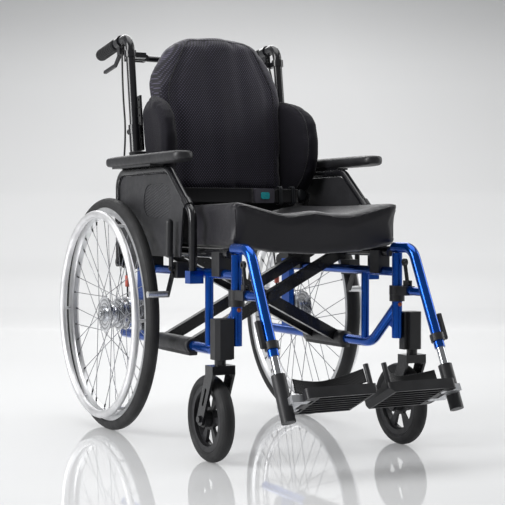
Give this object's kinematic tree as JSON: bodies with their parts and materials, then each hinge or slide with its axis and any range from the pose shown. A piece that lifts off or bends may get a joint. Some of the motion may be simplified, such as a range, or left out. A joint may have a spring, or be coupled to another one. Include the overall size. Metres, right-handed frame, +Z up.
{
  "type": "folding wheelchair",
  "caption": "Folding manual wheelchair: tubular side frames, double cross brace, large rear wheels, swivel casters, swing-away footrests, winged back cushion.",
  "frame": {"origin": "centre of the bounding box at floor height", "axes": "+Z up, -Y the chair's front, +X the user's left"},
  "size_m": [0.6678, 1.1782, 1.0504],
  "materials": {
    "blue_paint": "gloss",
    "black_metal": "satin",
    "silver": "satin",
    "black_plastic": "matte",
    "tyre_rubber": "matte",
    "grip_rubber": "matte",
    "cushion_fabric": "matte",
    "webbing": "matte",
    "pad_foam": "satin",
    "buckle_plastic": "satin",
    "teal_plastic": "gloss"
  },
  "bodies": {
    "frame_right": {"side_frame_right": "blue_paint", "frame_fittings_right": "black_plastic", "back_post_right": "black_metal", "axle_and_brake_plate_right": "silver", "brake_cable_right": "black_plastic", "back_straps": "webbing", "back_cushion": "cushion_fabric"},
    "frame_left": {"side_frame_left": "blue_paint", "frame_fittings_left": "black_plastic", "back_post_left": "black_metal", "axle_and_brake_plate_left": "silver", "brake_cable_left": "black_plastic"},
    "brace_a": {"brace_a": "black_metal"},
    "brace_b": {"brace_b": "black_metal"},
    "seat": {"seat_sling": "webbing", "seat_cushion": "cushion_fabric", "pelvic_belt": "webbing"},
    "belt_buckle": {"belt_buckle": "buckle_plastic"},
    "buckle_button": {"buckle_button": "teal_plastic"},
    "stabiliser_bar": {"stabiliser_bar": "black_metal"},
    "rear_wheel_left": {"rear_tyre_left": "tyre_rubber", "rear_rim_and_spokes_left": "silver", "hand_rim_left": "silver"},
    "caster_fork_left": {"caster_fork_left": "black_metal"},
    "caster_wheel_left": {"caster_tyre_left": "tyre_rubber", "caster_core_left": "black_plastic"},
    "hanger_left": {"hanger_tube_left": "blue_paint"},
    "hanger_latch_left": {"hanger_latch_left": "black_metal"},
    "clamp_lever_left": {"clamp_lever_left": "black_plastic"},
    "footrest_left": {"footrest_tube_left": "silver"},
    "footplate_left": {"footplate_left": "black_plastic", "heel_strap_left": "webbing"},
    "armrest_left": {"armrest_frame_left": "black_metal", "armrest_pad_left": "pad_foam", "side_panel_left": "black_plastic"},
    "parking_lever_left": {"parking_lever_left": "black_plastic"},
    "parking_shoe_left": {"parking_shoe_left": "silver"},
    "push_handle_left": {"push_handle_left": "black_metal", "handle_grip_left": "grip_rubber"},
    "attendant_lever_left": {"attendant_lever_left": "black_plastic"},
    "rear_wheel_right": {"rear_tyre_right": "tyre_rubber", "rear_rim_and_spokes_right": "silver", "hand_rim_right": "silver"},
    "caster_fork_right": {"caster_fork_right": "black_metal"},
    "caster_wheel_right": {"caster_tyre_right": "tyre_rubber", "caster_core_right": "black_plastic"},
    "hanger_right": {"hanger_tube_right": "blue_paint"},
    "hanger_latch_right": {"hanger_latch_right": "black_metal"},
    "clamp_lever_right": {"clamp_lever_right": "black_plastic"},
    "footrest_right": {"footrest_tube_right": "silver"},
    "footplate_right": {"footplate_right": "black_plastic", "heel_strap_right": "webbing"},
    "armrest_right": {"armrest_frame_right": "black_metal", "armrest_pad_right": "pad_foam", "side_panel_right": "black_plastic"},
    "parking_lever_right": {"parking_lever_right": "black_plastic"},
    "parking_shoe_right": {"parking_shoe_right": "silver"},
    "push_handle_right": {"push_handle_right": "black_metal", "handle_grip_right": "grip_rubber"},
    "attendant_lever_right": {"attendant_lever_right": "black_plastic"}
  },
  "joints": [
    {"name": "fold", "type": "hinge", "parent": "frame_right", "child": "brace_a", "pos_m": [-0.2176, 0.01211, 0.248], "axis": [0, -1, 0], "range_deg": [0, 43], "deforming": ["seat_sling", "seat_cushion", "pelvic_belt", "back_straps", "back_cushion"]},
    {"name": "brace_crossing", "type": "hinge", "parent": "brace_a", "child": "brace_b", "pos_m": [0, 0.01211, 0.361], "axis": [0, 1, 0], "range_deg": [0, 86]},
    {"name": "fold_left_side", "type": "hinge", "parent": "brace_b", "child": "frame_left", "pos_m": [0.2176, 0.01211, 0.248], "axis": [0, -1, 0], "range_deg": [0, 43]},
    {"name": "seat_rise", "type": "slide", "parent": "frame_right", "child": "seat", "axis": [0, 0, 1], "range_m": [0, 0.2366]},
    {"name": "buckle_gather", "type": "slide", "parent": "seat", "child": "belt_buckle", "axis": [-1, 0, 0], "range_m": [0, 0.1796]},
    {"name": "buckle_press", "type": "slide", "parent": "belt_buckle", "child": "buckle_button", "axis": [-0.1226, 0.9925, 0], "range_m": [0, 0.002], "stiffness_N_per_m": 1200},
    {"name": "rear_wheel_spin_left", "type": "hinge", "parent": "frame_left", "child": "rear_wheel_left", "pos_m": [0.2896, 0.28411, 0.305], "axis": [1, 0, 0], "continuous": true},
    {"name": "caster_swivel_left", "type": "hinge", "parent": "frame_left", "child": "caster_fork_left", "pos_m": [0.26, -0.31389, 0.26], "axis": [0, 0, 1], "continuous": true},
    {"name": "caster_spin_left", "type": "hinge", "parent": "caster_fork_left", "child": "caster_wheel_left", "pos_m": [0.26, -0.26589, 0.1], "axis": [1, 0, 0], "continuous": true},
    {"name": "hanger_swing_left", "type": "hinge", "parent": "frame_left", "child": "hanger_left", "pos_m": [0.2176, -0.31189, 0.473], "axis": [0, 0, 1], "range_deg": [0, 90]},
    {"name": "latch_release_left", "type": "hinge", "parent": "hanger_left", "child": "hanger_latch_left", "pos_m": [0.2176, -0.35589, 0.4], "axis": [1, 0, 0], "range_deg": [0, 18], "stiffness_Nm_per_rad": 1},
    {"name": "clamp_release_left", "type": "hinge", "parent": "hanger_left", "child": "clamp_lever_left", "pos_m": [0.2344, -0.47596, 0.28062], "axis": [1, 0, 0], "range_deg": [0, 90]},
    {"name": "footrest_height_left", "type": "slide", "parent": "hanger_left", "child": "footrest_left", "axis": [0, -0.4384, -0.8988], "range_m": [-0.035, 0.085]},
    {"name": "footplate_flip_left", "type": "hinge", "parent": "footrest_left", "child": "footplate_left", "pos_m": [0.176, -0.53348, 0.1627], "axis": [0, 0.8988, -0.4384], "range_deg": [0, 90], "deforming": ["heel_strap_left"]},
    {"name": "armrest_flip_left", "type": "hinge", "parent": "frame_left", "child": "armrest_left", "pos_m": [0.25, 0.30811, 0.44], "axis": [-1, 0, 0], "range_deg": [0, 80]},
    {"name": "parking_lever_pull_left", "type": "hinge", "parent": "frame_left", "child": "parking_lever_left", "pos_m": [0.265, -0.05889, 0.436], "axis": [1, 0, 0], "range_deg": [0, 45]},
    {"name": "parking_shoe_press_left", "type": "hinge", "parent": "frame_left", "child": "parking_shoe_left", "pos_m": [0.26, -0.05389, 0.42], "axis": [1, 0, 0], "range_deg": [0, 4.95]},
    {"name": "push_handle_height_left", "type": "slide", "parent": "frame_left", "child": "push_handle_left", "axis": [0, 0.1374, 0.9905], "range_m": [0, 0.08], "deforming": ["brake_cable_left"]},
    {"name": "hand_brake_left", "type": "hinge", "parent": "push_handle_left", "child": "attendant_lever_left", "pos_m": [0.2235, 0.36276, 1.00321], "axis": [1, 0, 0], "range_deg": [0, 14], "stiffness_Nm_per_rad": 1.5},
    {"name": "rear_wheel_spin_right", "type": "hinge", "parent": "frame_right", "child": "rear_wheel_right", "pos_m": [-0.2896, 0.28411, 0.305], "axis": [1, 0, 0], "continuous": true},
    {"name": "caster_swivel_right", "type": "hinge", "parent": "frame_right", "child": "caster_fork_right", "pos_m": [-0.26, -0.31389, 0.26], "axis": [0, 0, 1], "continuous": true},
    {"name": "caster_spin_right", "type": "hinge", "parent": "caster_fork_right", "child": "caster_wheel_right", "pos_m": [-0.26, -0.26589, 0.1], "axis": [1, 0, 0], "continuous": true},
    {"name": "hanger_swing_right", "type": "hinge", "parent": "frame_right", "child": "hanger_right", "pos_m": [-0.2176, -0.31189, 0.473], "axis": [0, 0, -1], "range_deg": [0, 90]},
    {"name": "latch_release_right", "type": "hinge", "parent": "hanger_right", "child": "hanger_latch_right", "pos_m": [-0.2176, -0.35589, 0.4], "axis": [1, 0, 0], "range_deg": [0, 18], "stiffness_Nm_per_rad": 1},
    {"name": "clamp_release_right", "type": "hinge", "parent": "hanger_right", "child": "clamp_lever_right", "pos_m": [-0.2344, -0.47596, 0.28062], "axis": [1, 0, 0], "range_deg": [0, 90]},
    {"name": "footrest_height_right", "type": "slide", "parent": "hanger_right", "child": "footrest_right", "axis": [0, -0.4384, -0.8988], "range_m": [-0.035, 0.085]},
    {"name": "footplate_flip_right", "type": "hinge", "parent": "footrest_right", "child": "footplate_right", "pos_m": [-0.176, -0.53348, 0.1627], "axis": [0, -0.8988, 0.4384], "range_deg": [0, 90], "deforming": ["heel_strap_right"]},
    {"name": "armrest_flip_right", "type": "hinge", "parent": "frame_right", "child": "armrest_right", "pos_m": [-0.25, 0.30811, 0.44], "axis": [-1, 0, 0], "range_deg": [0, 80]},
    {"name": "parking_lever_pull_right", "type": "hinge", "parent": "frame_right", "child": "parking_lever_right", "pos_m": [-0.265, -0.05889, 0.436], "axis": [1, 0, 0], "range_deg": [0, 45]},
    {"name": "parking_shoe_press_right", "type": "hinge", "parent": "frame_right", "child": "parking_shoe_right", "pos_m": [-0.26, -0.05389, 0.42], "axis": [1, 0, 0], "range_deg": [0, 4.95]},
    {"name": "push_handle_height_right", "type": "slide", "parent": "frame_right", "child": "push_handle_right", "axis": [0, 0.1374, 0.9905], "range_m": [0, 0.08], "deforming": ["brake_cable_right"]},
    {"name": "hand_brake_right", "type": "hinge", "parent": "push_handle_right", "child": "attendant_lever_right", "pos_m": [-0.2235, 0.36276, 1.00321], "axis": [1, 0, 0], "range_deg": [0, 14], "stiffness_Nm_per_rad": 1.5},
    {"name": "stabiliser_release", "type": "hinge", "parent": "push_handle_right", "child": "stabiliser_bar", "pos_m": [-0.168, 0.32832, 0.9878], "axis": [0, 0.9905, -0.1374], "range_deg": [0, 90]}
  ],
  "couplings": [
    {"joint": "brace_crossing", "follows": "fold", "ratio": 2},
    {"joint": "fold_left_side", "follows": "fold", "ratio": 1},
    {"joint": "seat_rise", "follows": "fold", "m_per_rad": 0.31458},
    {"joint": "buckle_gather", "follows": "fold", "m_per_rad": 0.23867},
    {"joint": "footplate_flip_left", "follows": "fold", "ratio": 2.093},
    {"joint": "parking_shoe_press_left", "follows": "parking_lever_pull_left", "ratio": 0.10889},
    {"joint": "footplate_flip_right", "follows": "fold", "ratio": 2.093},
    {"joint": "parking_shoe_press_right", "follows": "parking_lever_pull_right", "ratio": 0.10889},
    {"joint": "push_handle_height_left", "follows": "push_handle_height_right", "ratio": 1},
    {"joint": "stabiliser_release", "follows": "fold", "ratio": 2.093}
  ]
}
